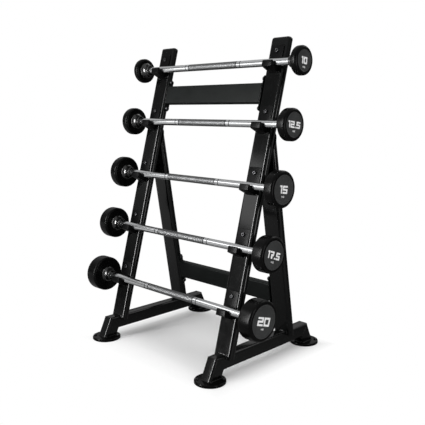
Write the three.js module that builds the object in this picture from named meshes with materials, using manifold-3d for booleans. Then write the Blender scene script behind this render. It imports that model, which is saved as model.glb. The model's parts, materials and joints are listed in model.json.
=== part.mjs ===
// Barbell storage rack that holds five fixed barbells, one above the other.
// Millimetres. X runs along the barbells, Y points to the back and Z points up.
// The origin is on the floor, under the middle of the barbells.
import * as THREE from 'three';
import { mergeVertices } from 'three/addons/utils/BufferGeometryUtils.js';
import Module from 'manifold-3d';

const wasm = await Module();
wasm.setup();

const radians = THREE.MathUtils.degToRad;

// Gaps and cuts
const clearance = 0.3;
const overrun = 40;

// Smoothness, in segments, and the largest corner as a share of the shorter side.
// A shape's arc gets twice its segments.
const corner_segments = 2;
const cradle_segments = 4;
const edge_segments = 2;
const bolt_segments = 10;
const bar_segments = 16;
const head_segments = 24;
const foot_segments = 24;
const largest_round_share = 0.48;

// Barbells, from the lightest at the top to the heaviest at the bottom
const head_diameter_10 = 114;
const head_diameter_12_5 = 127.5;
const head_diameter_15 = 145;
const head_diameter_17_5 = 143.5;
const head_diameter_20 = 161.5;
const head_thickness_10 = 32;
const head_thickness_12_5 = 40;
const head_thickness_15 = 46;
const head_thickness_17_5 = 56;
const head_thickness_20 = 65.5;
const barbells = [
  { name: '10', head_diameter: head_diameter_10, head_thickness: head_thickness_10 },
  { name: '12_5', head_diameter: head_diameter_12_5, head_thickness: head_thickness_12_5 },
  { name: '15', head_diameter: head_diameter_15, head_thickness: head_thickness_15 },
  { name: '17_5', head_diameter: head_diameter_17_5, head_thickness: head_thickness_17_5 },
  { name: '20', head_diameter: head_diameter_20, head_thickness: head_thickness_20 },
];
const bar_diameter = 30;
const bar_end_chamfer = 1.5;
const bar_depth_in_head = 15;
const grip_length = 286;
const grip_groove_width = 4;
const grip_groove_depth = 1;
const grip_band_width = 17;
const neck_length = 33;
const neck_end_wall = 10;
const neck_root_wall = 13.5;
const neck_end_round = 5;
const neck_to_tube_gap = 34;
const barbell_shift = 16;
const head_edge_round = 10;
const head_rim_width = 5;
const head_recess_depth = 2;
const head_recess_slope_width = 2.5;

// Tubes of the two side frames
const side_spacing = 687;
const tube_width = 96;
const tube_depth = 32;
const tube_corner_round = 15;
const tube_wall = 3;
const tube_end_rise = 81;
const upright_lean = radians(14.95);
const upright_setback = 51.8;
const upright_above_top_bar = 116;
const upright_top_round = 10;
const upright_cap_thickness = 9;
const leg_lean = radians(9.53);
const leg_setback = 116.4;

// Base rails, their down-turned ends and the feet
const rail_width = 54;
const rail_height = 57;
const rail_corner_round = 10;
const rail_wall = 3;
const rail_bottom = 40;
const foot_stub_tilt = radians(25);
const foot_stub_depth = 64;
const foot_stub_inset = 6;
const foot_spacing = 610;
const foot_diameter = 128;
const foot_thickness = 12;
const foot_edge_round = 4;

// Saddles that carry the bars
const lowest_bar_rise = 271;
const bar_pitch = 250.8;
const saddle_width = 48;
const saddle_web = 4;
const saddle_web_rise = 16;
const saddle_plate_width = 64;
const saddle_plate_thickness = 4;
const saddle_seat_gap = 1;
const saddle_exit_angle = radians(40);
const saddle_lip_rise = 3;
const saddle_lip_round = 5;
const saddle_toe_thickness = 8;
const saddle_toe_round = 5;
const saddle_heel_thickness = 18;
const saddle_bolt_above_bar = 56;
const saddle_plate_past_bolt = 24;
const saddle_plate_round = 6;
const saddle_web_round = 3;

// Cross beams and their welded end flanges
const beam_height = 84;
const beam_depth = 30;
const beam_corner_round = 6;
const beam_wall = 3;
const upper_beam_below_top_bar = 114.5;
const lower_beam_rise = 268;
const flange_thickness = 4;
const flange_width = 30;
const flange_corner_round = 12;
const beam_bolt_past_beam = 20;
const flange_past_bolt = 13;

// Bolts
const bolt_diameter = 10;
const bolt_past_wall = 12;
const bolt_head_round = 3;
const saddle_bolt_head_diameter = 18;
const saddle_bolt_head_height = 6;
const beam_bolt_head_diameter = 20;
const beam_bolt_head_height = 11;

// Places worked out from the sizes
const side_x = side_spacing / 2;
const neck_end_x = side_x + tube_width / 2 + neck_to_tube_gap;
const head_inner_x = neck_end_x + neck_length;
const bar_end_x = head_inner_x + bar_depth_in_head;
const bar_radius = bar_diameter / 2;
const cradle_radius = bar_radius + saddle_seat_gap;
const bar_to_axis = tube_depth / 2 + saddle_plate_thickness + saddle_web + cradle_radius;
const rail_middle = rail_bottom + rail_height / 2;
const rail_top = rail_bottom + rail_height;
const rail_to_stub = rail_height / foot_stub_depth;
const rail_mitre_slope = (1 / rail_to_stub - Math.sin(foot_stub_tilt)) / Math.cos(foot_stub_tilt);
const stub_mitre_slope = rail_to_stub * Math.cos(foot_stub_tilt)
  - (1 - rail_to_stub * Math.sin(foot_stub_tilt)) * Math.tan(foot_stub_tilt);
const foot_y = foot_spacing / 2;
const rail_half_length = foot_y - foot_stub_inset
  - (rail_middle - foot_thickness) * Math.tan(foot_stub_tilt);
const upright_base_y = upright_setback - rail_half_length - rail_top * Math.tan(upright_lean);
const leg_base_y = rail_half_length - leg_setback + rail_top * Math.tan(leg_lean);
const top_bar_rise = lowest_bar_rise + bar_pitch * (barbells.length - 1);
const upright_top = top_bar_rise + upright_above_top_bar;
const upper_beam_rise = top_bar_rise - upper_beam_below_top_bar;
const beam_bolt_offset = beam_height / 2 + beam_bolt_past_beam;
const flange_height = 2 * (beam_bolt_offset + flange_past_bolt);

const sides = { left: -1, right: 1 };
const ends = { front: -1, rear: 1 };
const bolt_rows = { lower: -1, upper: 1 };

// Colours and surfaces
const looks = {
  frame_paint: { color: 0x191b1b, roughness: 0.3, metalness: 0 },
  beam_paint: { color: 0x2a2d2c, roughness: 0.5, metalness: 0 },
  saddle_plastic: { color: 0x18191a, roughness: 0.45, metalness: 0 },
  bolt_steel: { color: 0x3a3b3c, roughness: 0.35, metalness: 0.8 },
  chrome: { color: 0xc9cbcc, roughness: 0.12, metalness: 1 },
  head_urethane: { color: 0x232525, roughness: 0.55, metalness: 0 },
  foot_plastic: { color: 0x0f1010, roughness: 0.4, metalness: 0 },
};

// Turns a shape's X, Y and depth into Y, Z and X
const across_rack = new THREE.Matrix4().makeBasis(
  new THREE.Vector3(0, 1, 0),
  new THREE.Vector3(0, 0, 1),
  new THREE.Vector3(1, 0, 0),
);

const part = new THREE.Group();

// Adds one named piece to a group
function addPiece(group, name, geometry, look) {
  const mesh = new THREE.Mesh(geometry, new THREE.MeshStandardMaterial(looks[look]));
  mesh.name = name;
  group.add(mesh);
  return mesh;
}

// Adds a group with its own place and its own turn about X
function addFrame(x, y, z, turn) {
  const frame = new THREE.Group();
  frame.position.set(x, y, z);
  frame.rotation.x = turn;
  part.add(frame);
  frame.updateMatrixWorld();
  return frame;
}

// A closed mesh as a solid that can be joined and cut
function solidOf(geometry) {
  const bare = geometry.clone();
  bare.deleteAttribute('normal');
  bare.deleteAttribute('uv');
  const merged = mergeVertices(bare);
  return new wasm.Manifold(new wasm.Mesh({
    numProp: 3,
    vertProperties: Float32Array.from(merged.attributes.position.array),
    triVerts: Uint32Array.from(merged.index.array),
  }));
}

// A solid as a geometry again
function geometryOf(solid) {
  const mesh = solid.getMesh();
  const geometry = new THREE.BufferGeometry();
  geometry.setAttribute('position', new THREE.BufferAttribute(mesh.vertProperties, 3));
  geometry.setIndex(new THREE.BufferAttribute(mesh.triVerts, 1));
  geometry.computeVertexNormals();
  return geometry;
}

// A rectangle with round corners, about the origin
function roundedRectangle(width, height, wanted_round) {
  const round = Math.min(wanted_round, largest_round_share * Math.min(width, height));
  const x = width / 2 - round;
  const y = height / 2 - round;
  const shape = new THREE.Shape();
  shape.absarc(x, y, round, 0, Math.PI / 2, false);
  shape.absarc(-x, y, round, Math.PI / 2, Math.PI, false);
  shape.absarc(-x, -y, round, Math.PI, Math.PI * 1.5, false);
  shape.absarc(x, -y, round, Math.PI * 1.5, Math.PI * 2, false);
  return shape;
}

// The section of a tube, as a shape with a hole
function tubeSection(width, height, round, wall) {
  const shape = roundedRectangle(width, height, round);
  shape.holes.push(roundedRectangle(width - 2 * wall, height - 2 * wall, round - wall));
  return shape;
}

// A shape drawn out along Z, from one height to another
function drawn(shape, from, to, segments = corner_segments) {
  const geometry = new THREE.ExtrudeGeometry(shape, {
    depth: to - from,
    bevelEnabled: false,
    curveSegments: segments,
  });
  return geometry.translate(0, 0, from);
}

// A tube along Z whose end cuts slope along the section's Y
function slopedTube(section, from, to, from_slope, to_slope) {
  const geometry = drawn(section, from, to);
  const position = geometry.attributes.position;
  const middle = (from + to) / 2;
  for (let i = 0; i < position.count; i += 1) {
    const slope = position.getZ(i) < middle ? from_slope : to_slope;
    position.setZ(i, position.getZ(i) + slope * position.getY(i));
  }
  return geometry;
}

// A piece turned about Y, from points of radius and height
function turned(points, segments) {
  const profile = points.map(([radius, height]) => new THREE.Vector2(radius, height));
  return new THREE.LatheGeometry(profile, segments);
}

// Points of radius and height along a round edge
function roundEdge(radius, height, round, from, to) {
  const points = [];
  for (let i = 0; i <= edge_segments; i += 1) {
    const angle = from + ((to - from) * i) / edge_segments;
    points.push([radius + round * Math.cos(angle), height + round * Math.sin(angle)]);
  }
  return points;
}

// A bolt hole along Y, as a solid to cut with
function boltHole(from, to) {
  const radius = bolt_diameter / 2 + clearance;
  const geometry = new THREE.CylinderGeometry(radius, radius, to - from, bolt_segments);
  return geometry.translate(0, (from + to) / 2, 0);
}

// A box between two corners, as a solid to cut with
function block(low, high) {
  const size = new THREE.Vector3().subVectors(high, low);
  const middle = new THREE.Vector3().addVectors(high, low).divideScalar(2);
  const geometry = new THREE.BoxGeometry(size.x, size.y, size.z);
  return geometry.translate(middle.x, middle.y, middle.z);
}

// A button-head bolt about Y, with the underside of its head at zero
function bolt(shank_length, head_diameter, head_height) {
  const radius = head_diameter / 2;
  return turned([
    [0, -shank_length],
    [bolt_diameter / 2, -shank_length],
    [bolt_diameter / 2, 0],
    [radius, 0],
    ...roundEdge(radius - bolt_head_round, head_height - bolt_head_round,
      bolt_head_round, 0, Math.PI / 2),
    [0, head_height],
  ], bolt_segments);
}

// Cuts the floor end of a leaning tube square, and slots it over the base rail
function cutFloorEnd(tube, frame) {
  const half_width = tube_width / 2 + overrun;
  const half_depth = tube_depth / 2 + overrun;
  const under = block(
    new THREE.Vector3(-half_width, -half_depth, -overrun),
    new THREE.Vector3(half_width, half_depth, tube_end_rise),
  );
  const slot_half_width = rail_width / 2 + clearance;
  const slot = block(
    new THREE.Vector3(-slot_half_width, -rail_half_length, 0),
    new THREE.Vector3(slot_half_width, rail_half_length, rail_top + clearance),
  );
  slot.translate(frame.position.x, 0, 0);
  slot.applyMatrix4(frame.matrixWorld.clone().invert());
  return tube.subtract(solidOf(under)).subtract(solidOf(slot));
}

// Drills the inner side of a tube for the two bolts of a cross beam's flange
function drillForBeam(tube, side, beam_rise) {
  let drilled = tube;
  for (const row of Object.values(bolt_rows)) {
    const hole = boltHole(0, tube_width / 2 + overrun);
    hole.rotateZ(side * Math.PI / 2);
    hole.translate(0, 0, beam_rise + row * beam_bolt_offset);
    drilled = drilled.subtract(solidOf(hole));
  }
  return drilled;
}

// Drills the front of an upright for the bolts of its saddles
function drillForSaddles(tube) {
  let drilled = tube;
  for (const [place] of barbells.entries()) {
    const hole = boltHole(0, tube_depth / 2 + overrun);
    hole.rotateX(Math.PI);
    hole.translate(0, 0, barRise(place) + saddle_bolt_above_bar);
    drilled = drilled.subtract(solidOf(hole));
  }
  return drilled;
}

// How far up the upright a bar lies
function barRise(place) {
  return top_bar_rise - bar_pitch * place;
}

// A leaning upright: a flat-oval tube with a closed, rounded top
function uprightTube(side, frame) {
  const outside = new THREE.ExtrudeGeometry(
    roundedRectangle(tube_width, tube_depth, tube_corner_round),
    {
      depth: upright_top - 2 * upright_top_round,
      bevelThickness: upright_top_round,
      bevelSize: upright_top_round,
      bevelOffset: -upright_top_round,
      bevelSegments: edge_segments,
      curveSegments: corner_segments,
    },
  );
  outside.translate(0, 0, upright_top_round);
  const hollow = drawn(
    roundedRectangle(
      tube_width - 2 * tube_wall, tube_depth - 2 * tube_wall, tube_corner_round - tube_wall),
    -overrun,
    upright_top - upright_cap_thickness,
  );
  const tube = cutFloorEnd(solidOf(outside).subtract(solidOf(hollow)), frame);
  return geometryOf(drillForSaddles(drillForBeam(tube, side, upper_beam_rise)));
}

// A rear leg: the same tube, cut at its top to lie against the upright's back
function legTube(side, frame) {
  const meeting_angle = upright_lean + leg_lean;
  const to_upright_back = (leg_base_y - upright_base_y) * Math.cos(upright_lean)
    - tube_depth / 2 - clearance;
  const leg_top = to_upright_back / Math.sin(meeting_angle);
  const section = tubeSection(tube_width, tube_depth, tube_corner_round, tube_wall);
  const tube = slopedTube(section, 0, leg_top, 0, 1 / Math.tan(meeting_angle));
  return geometryOf(drillForBeam(cutFloorEnd(solidOf(tube), frame), side, lower_beam_rise));
}

// A cross beam: a box tube with a flange welded on each end, between two tubes
function beamWithFlanges() {
  const half_length = side_x - tube_width / 2 - clearance;
  const beam_shape = roundedRectangle(beam_depth, beam_height, beam_corner_round);
  const flange_shape = roundedRectangle(flange_width, flange_height, flange_corner_round);
  const hollow_shape = roundedRectangle(
    beam_depth - 2 * beam_wall, beam_height - 2 * beam_wall, beam_corner_round - beam_wall);
  const flange_inner_x = half_length - flange_thickness;
  let beam = solidOf(drawn(beam_shape, -half_length, half_length))
    .add(solidOf(drawn(flange_shape, flange_inner_x, half_length)))
    .add(solidOf(drawn(flange_shape, -half_length, -flange_inner_x)))
    .subtract(solidOf(drawn(hollow_shape, -half_length - overrun, half_length + overrun)));
  for (const row of Object.values(bolt_rows)) {
    const hole = boltHole(-half_length - overrun, half_length + overrun);
    hole.rotateX(Math.PI / 2);
    hole.translate(0, row * beam_bolt_offset, 0);
    beam = beam.subtract(solidOf(hole));
  }
  return geometryOf(beam).applyMatrix4(across_rack);
}

// A cross beam and its four bolts, on one of the leaning frames
function addBeam(frame, name, rise) {
  addPiece(frame, `${name}_beam`, beamWithFlanges(), 'beam_paint').position.z = rise;
  const head_x = side_x - tube_width / 2 - flange_thickness - 2 * clearance;
  const shank_length = 2 * clearance + flange_thickness + tube_wall + bolt_past_wall;
  for (const [side_name, side] of Object.entries(sides)) {
    for (const [row_name, row] of Object.entries(bolt_rows)) {
      const geometry = bolt(shank_length, beam_bolt_head_diameter, beam_bolt_head_height);
      geometry.rotateZ(side * Math.PI / 2);
      const bolt_name = `${name}_beam_bolt_${side_name}_${row_name}`;
      const mesh = addPiece(frame, bolt_name, geometry, 'bolt_steel');
      mesh.position.set(side * head_x, 0, rise + row * beam_bolt_offset);
    }
  }
}

// A saddle's hook about its bar's centre: a round cradle and a lip in front.
// The lip's inner face runs along the way in which the bar is lifted out.
function hookShape() {
  const cradle_height = saddle_seat_gap - clearance;
  const back = cradle_radius + saddle_web + saddle_plate_thickness - clearance;
  const lip_y = saddle_lip_rise - saddle_lip_round;
  const lip_x = -(cradle_radius + saddle_lip_round
    + (lip_y - cradle_height) * Math.sin(saddle_exit_angle)) / Math.cos(saddle_exit_angle);
  const front = lip_x - saddle_lip_round;
  const toe_y = -cradle_radius - saddle_toe_thickness;
  const heel_y = -cradle_radius - saddle_heel_thickness;
  const underside = Math.atan2(heel_y - toe_y, back - front);
  const shape = new THREE.Shape();
  shape.absarc(0, cradle_height, cradle_radius, 0, saddle_exit_angle - Math.PI, true);
  shape.absarc(lip_x, lip_y, saddle_lip_round, saddle_exit_angle, Math.PI, false);
  shape.lineTo(front, toe_y + saddle_toe_round);
  shape.quadraticCurveTo(
    front, toe_y,
    front + saddle_toe_round * Math.cos(underside),
    toe_y + saddle_toe_round * Math.sin(underside));
  shape.lineTo(back, heel_y);
  shape.lineTo(back, saddle_web_rise);
  shape.absarc(
    cradle_radius + saddle_web_round, saddle_web_rise - saddle_web_round,
    saddle_web_round, Math.PI / 2, Math.PI, false);
  return shape;
}

// A saddle: the hook, and a wider plate behind it with a bolt hole above the bar
function saddleGeometry() {
  const hook = drawn(hookShape(), -saddle_width / 2, saddle_width / 2, cradle_segments);
  hook.applyMatrix4(across_rack);
  const plate_top = saddle_bolt_above_bar + saddle_plate_past_bolt;
  const plate_bottom = -cradle_radius - saddle_heel_thickness;
  const front = cradle_radius + saddle_web;
  const plate_shape = roundedRectangle(
    saddle_plate_width, plate_top - plate_bottom, saddle_plate_round);
  const plate = drawn(plate_shape, front, front + saddle_plate_thickness - clearance);
  plate.rotateX(-Math.PI / 2);
  plate.translate(0, 0, (plate_top + plate_bottom) / 2);
  const hole = boltHole(0, front + saddle_plate_thickness + overrun);
  hole.translate(0, 0, saddle_bolt_above_bar);
  return geometryOf(solidOf(hook).add(solidOf(plate)).subtract(solidOf(hole)));
}

// The saddle under one end of a bar, and the bolt that holds it
function addSaddle(frame, name, side_name, rise) {
  const x = sides[side_name] * side_x;
  const saddle = addPiece(frame, `saddle_${name}_${side_name}`, saddleGeometry(), 'saddle_plastic');
  saddle.position.set(x, -bar_to_axis, rise);
  const shank_length = clearance + saddle_plate_thickness + tube_wall + bolt_past_wall;
  const geometry = bolt(shank_length, saddle_bolt_head_diameter, saddle_bolt_head_height);
  geometry.rotateX(Math.PI);
  const mesh = addPiece(frame, `saddle_bolt_${name}_${side_name}`, geometry, 'bolt_steel');
  const head_y = -tube_depth / 2 - saddle_plate_thickness - clearance;
  mesh.position.set(x, head_y, rise + saddle_bolt_above_bar);
}

// A chrome bar about Y, with two ring grooves at each end of its grip
function barGeometry() {
  const half = [];
  for (const ring of [0, 1]) {
    const start = grip_length / 2 + ring * (grip_groove_width + grip_band_width);
    half.push([bar_radius, start]);
    half.push([bar_radius - grip_groove_depth, start + grip_groove_width / 2]);
    half.push([bar_radius, start + grip_groove_width]);
  }
  half.push([bar_radius, bar_end_x - bar_end_chamfer]);
  half.push([bar_radius - bar_end_chamfer, bar_end_x]);
  half.push([0, bar_end_x]);
  const mirrored = half.map(([radius, height]) => [radius, -height]).reverse();
  return turned([...mirrored, ...half], bar_segments);
}

// A round head about Y with its neck and a blind bore, at its distance from the bar's middle
function headGeometry(diameter, thickness) {
  const radius = diameter / 2;
  const outer_x = head_inner_x + thickness;
  const bore_radius = bar_radius + clearance;
  const neck_end_radius = bar_radius + neck_end_wall;
  const rim_radius = radius - head_edge_round - head_rim_width;
  const quarter = Math.PI / 2;
  return turned([
    [0, bar_end_x + clearance],
    [bore_radius, bar_end_x + clearance],
    [bore_radius, neck_end_x],
    ...roundEdge(neck_end_radius - neck_end_round, neck_end_x + neck_end_round,
      neck_end_round, -quarter, 0),
    [bar_radius + neck_root_wall, head_inner_x],
    ...roundEdge(radius - head_edge_round, head_inner_x + head_edge_round,
      head_edge_round, -quarter, 0),
    ...roundEdge(radius - head_edge_round, outer_x - head_edge_round,
      head_edge_round, 0, quarter),
    [rim_radius, outer_x],
    [rim_radius - head_recess_slope_width, outer_x - head_recess_depth],
    [0, outer_x - head_recess_depth],
  ], head_segments);
}

// One barbell: its bar and its two heads, about the place where it rests
function addBarbell(barbell, rest) {
  const group = new THREE.Group();
  group.position.copy(rest);
  part.add(group);
  const bar = barGeometry().rotateZ(-Math.PI / 2);
  addPiece(group, `bar_${barbell.name}`, bar, 'chrome');
  for (const [side_name, side] of Object.entries(sides)) {
    const head = headGeometry(barbell.head_diameter, barbell.head_thickness);
    head.rotateZ(-side * Math.PI / 2);
    addPiece(group, `head_${barbell.name}_${side_name}`, head, 'head_urethane');
  }
}

// A base rail along Y with mitred ends
function railGeometry() {
  const section = tubeSection(rail_width, rail_height, rail_corner_round, rail_wall);
  const rail = slopedTube(
    section, -rail_half_length, rail_half_length, rail_mitre_slope, -rail_mitre_slope);
  return rail.rotateX(-Math.PI / 2);
}

// The down-turned end of a rail, from its mitre to the top of the foot
function stubGeometry(end) {
  const section = tubeSection(rail_width, foot_stub_depth, rail_corner_round, rail_wall);
  const start = clearance * Math.hypot(1, stub_mitre_slope);
  const drop = rail_middle - foot_thickness - clearance;
  const length = drop / Math.cos(foot_stub_tilt);
  return slopedTube(
    section, start, length, end * stub_mitre_slope, -end * Math.tan(foot_stub_tilt));
}

// A round foot about Z, flat underneath, with a rounded top edge
function footGeometry() {
  const radius = foot_diameter / 2;
  const foot = turned([
    [0, 0],
    [radius, 0],
    ...roundEdge(radius - foot_edge_round, foot_thickness - foot_edge_round,
      foot_edge_round, 0, Math.PI / 2),
    [0, foot_thickness],
  ], foot_segments);
  return foot.rotateX(Math.PI / 2);
}

// The base of one side: a rail, its two down-turned ends and their feet
function addBase(side_name) {
  const x = sides[side_name] * side_x - barbell_shift;
  addPiece(part, `base_rail_${side_name}`, railGeometry(), 'frame_paint')
    .position.set(x, 0, rail_middle);
  for (const [end_name, end] of Object.entries(ends)) {
    const corner = `${end_name}_${side_name}`;
    const turn = end * (Math.PI + foot_stub_tilt);
    const stub_frame = addFrame(x, end * rail_half_length, rail_middle, turn);
    addPiece(stub_frame, `foot_stub_${corner}`, stubGeometry(end), 'frame_paint');
    addPiece(part, `foot_${corner}`, footGeometry(), 'foot_plastic')
      .position.set(x, end * foot_y, 0);
  }
}

const upright_frame = addFrame(-barbell_shift, upright_base_y, 0, -upright_lean);
const leg_frame = addFrame(-barbell_shift, leg_base_y, 0, leg_lean);

for (const [side_name, side] of Object.entries(sides)) {
  addPiece(upright_frame, `upright_${side_name}`, uprightTube(side, upright_frame), 'frame_paint')
    .position.x = side * side_x;
  addPiece(leg_frame, `rear_leg_${side_name}`, legTube(side, leg_frame), 'frame_paint')
    .position.x = side * side_x;
  addBase(side_name);
}
addBeam(upright_frame, 'upper', upper_beam_rise);
addBeam(leg_frame, 'lower', lower_beam_rise);
for (const [place, barbell] of barbells.entries()) {
  const rise = barRise(place);
  for (const side_name of Object.keys(sides)) {
    addSaddle(upright_frame, barbell.name, side_name, rise);
  }
  const rest = upright_frame.localToWorld(new THREE.Vector3(barbell_shift, -bar_to_axis, rise));
  addBarbell(barbell, rest);
}

export default part;
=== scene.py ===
import json
import math

import bmesh
import bpy
from bpy.props import FloatProperty, FloatVectorProperty, PointerProperty
from mathutils import Matrix, Vector

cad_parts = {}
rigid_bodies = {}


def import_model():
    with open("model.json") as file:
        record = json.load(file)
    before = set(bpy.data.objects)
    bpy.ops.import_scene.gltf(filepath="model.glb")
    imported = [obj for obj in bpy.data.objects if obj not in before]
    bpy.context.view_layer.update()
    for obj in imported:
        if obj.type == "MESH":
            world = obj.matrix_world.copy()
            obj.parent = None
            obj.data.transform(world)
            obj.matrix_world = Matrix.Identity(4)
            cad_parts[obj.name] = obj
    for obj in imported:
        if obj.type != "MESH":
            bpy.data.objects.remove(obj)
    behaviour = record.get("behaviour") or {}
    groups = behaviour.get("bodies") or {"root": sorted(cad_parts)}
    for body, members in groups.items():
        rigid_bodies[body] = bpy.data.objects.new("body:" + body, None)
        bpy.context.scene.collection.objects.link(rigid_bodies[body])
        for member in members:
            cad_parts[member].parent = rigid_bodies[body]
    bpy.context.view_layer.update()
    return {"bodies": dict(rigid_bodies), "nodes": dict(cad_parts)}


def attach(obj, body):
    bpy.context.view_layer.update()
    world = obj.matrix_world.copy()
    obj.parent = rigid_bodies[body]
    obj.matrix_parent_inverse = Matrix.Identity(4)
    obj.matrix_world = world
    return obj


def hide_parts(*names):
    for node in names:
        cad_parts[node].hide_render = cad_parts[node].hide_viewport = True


bl_info = {
    "name": "Barbell Storage Rack",
    "version": (1, 0, 0),
    "blender": (4, 5, 0),
    "location": "View3D > Sidebar > Rack",
    "description": "Dresses the barbell rack's frame with its finished pieces and a plain studio",
    "category": "Object",
}

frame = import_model()

SIDES = {"left": -1, "right": 1}
ENDS = {"front": -1, "rear": 1}
ROWS = {"lower": -1, "upper": 1}

QUARTER_TURN = math.pi / 2
# Clearance between pieces that fit together
GAP = 0.0003
# Extra length that a cut takes off again
SPARE = 0.05
# Less than any detail measures, to tell edges apart
TINY = 1e-5
# Edges that turn by more than this, in radians, are sharp
SHARP_ANGLE = 0.9

# Name, head diameter, head thickness, number, its width and height, and its tilt in degrees
BARBELLS = [
    ("10", 0.114, 0.032, "10", 0.035, 0.027, -6),
    ("12_5", 0.1275, 0.040, "12.5", 0.074, 0.026, -7),
    ("15", 0.145, 0.046, "15", 0.046, 0.031, -9),
    ("17_5", 0.1435, 0.056, "17.5", 0.074, 0.029, -19),
    ("20", 0.1615, 0.0655, "20", 0.071, 0.034, -17),
]

# How far out from a neck's wall and how far along the neck each point of its outline lies
NECK_CURVE = [
    (-0.0008, 0.008), (-0.0004, 0.013), (0.0008, 0.018), (0.0025, 0.023),
    (0.0048, 0.0275), (0.0075, 0.0305), (0.011, 0.0322),
]

# Diameter and height of a bolt's head, and length and diameter of its shank
FOOT_BOLT = (0.015, 0.006, 0.006, 0.008)
BEAM_BOLT = (0.020, 0.011, 0.020, 0.010)
SADDLE_BOLT = (0.018, 0.006, 0.018, 0.010)

# Each sign as rows of filled cells, from the top down
SIGNS = {
    "0": ("###", "#.#", "#.#", "#.#", "###"),
    "1": ("##", ".#", ".#", ".#", ".#"),
    "2": ("###", "..#", "###", "#..", "###"),
    "5": ("###", "#..", "###", "..#", "###"),
    "7": ("###", "..#", ".##", ".#.", ".#."),
    ".": (".", ".", ".", ".", "#"),
    "K": ("#.#", "#.#", "##.", "#.#", "#.#"),
    "G": ("###", "#..", "#.#", "#.#", "###"),
}


def length(name, description, default):
    """A length in metres."""
    return FloatProperty(
        name=name, description=description, default=default, min=0, unit="LENGTH", precision=4
    )


def turn(name, description, degrees):
    """An angle, given in degrees."""
    return FloatProperty(
        name=name, description=description, default=math.radians(degrees), subtype="ANGLE"
    )


def colour(name, description, default):
    """A linear colour."""
    return FloatVectorProperty(
        name=name, description=description, default=default, size=3, min=0, max=1, subtype="COLOR"
    )


def share(name, description, default):
    """A share from 0 to 1."""
    return FloatProperty(
        name=name, description=description, default=default, min=0, max=1, subtype="FACTOR"
    )


def power(name, description, watts):
    """A lamp's power in watts."""
    return FloatProperty(name=name, description=description, default=watts, min=0, unit="POWER")


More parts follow.
